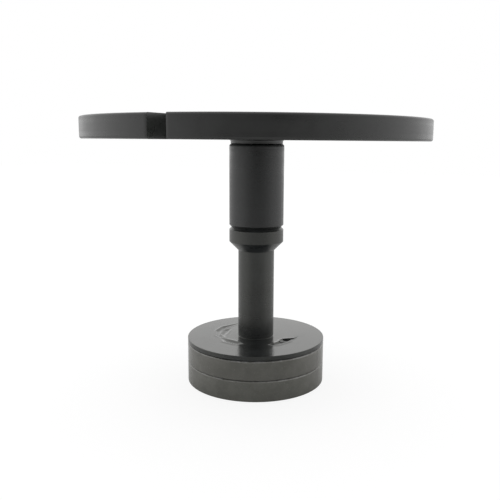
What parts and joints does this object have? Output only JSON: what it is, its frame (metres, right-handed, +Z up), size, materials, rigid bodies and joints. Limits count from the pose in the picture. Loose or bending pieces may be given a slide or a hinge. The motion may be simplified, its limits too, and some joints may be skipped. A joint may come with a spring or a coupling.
{
  "type": "smt pick up nozzle",
  "caption": "Vacuum pick-up nozzle with a broad round reflector disc on a slim turned shank and a flanged tip that carries a stacked round suction pad.",
  "frame": {"origin": "on the nozzle's axis, at the level of the pad face that it stands on", "axes": "+Z up along the vacuum way, from the pad to the disc; -Y towards the slot in the disc's rim; +X to the right"},
  "size_m": [0.0482, 0.0482, 0.0378],
  "materials": {
    "disc_metal": "satin black anodised",
    "shank_metal": "satin blackened, fine turning marks",
    "tip_metal": "polished blackened",
    "holder_plastic": "satin black moulded",
    "pad_rubber": "satin black rubber"
  },
  "bodies": {
    "root": {"reflector_disc": "disc_metal", "shank_sleeve": "shank_metal", "nozzle_tip": "tip_metal", "pad_holder": "holder_plastic", "suction_pad": "pad_rubber"}
  },
  "joints": []
}
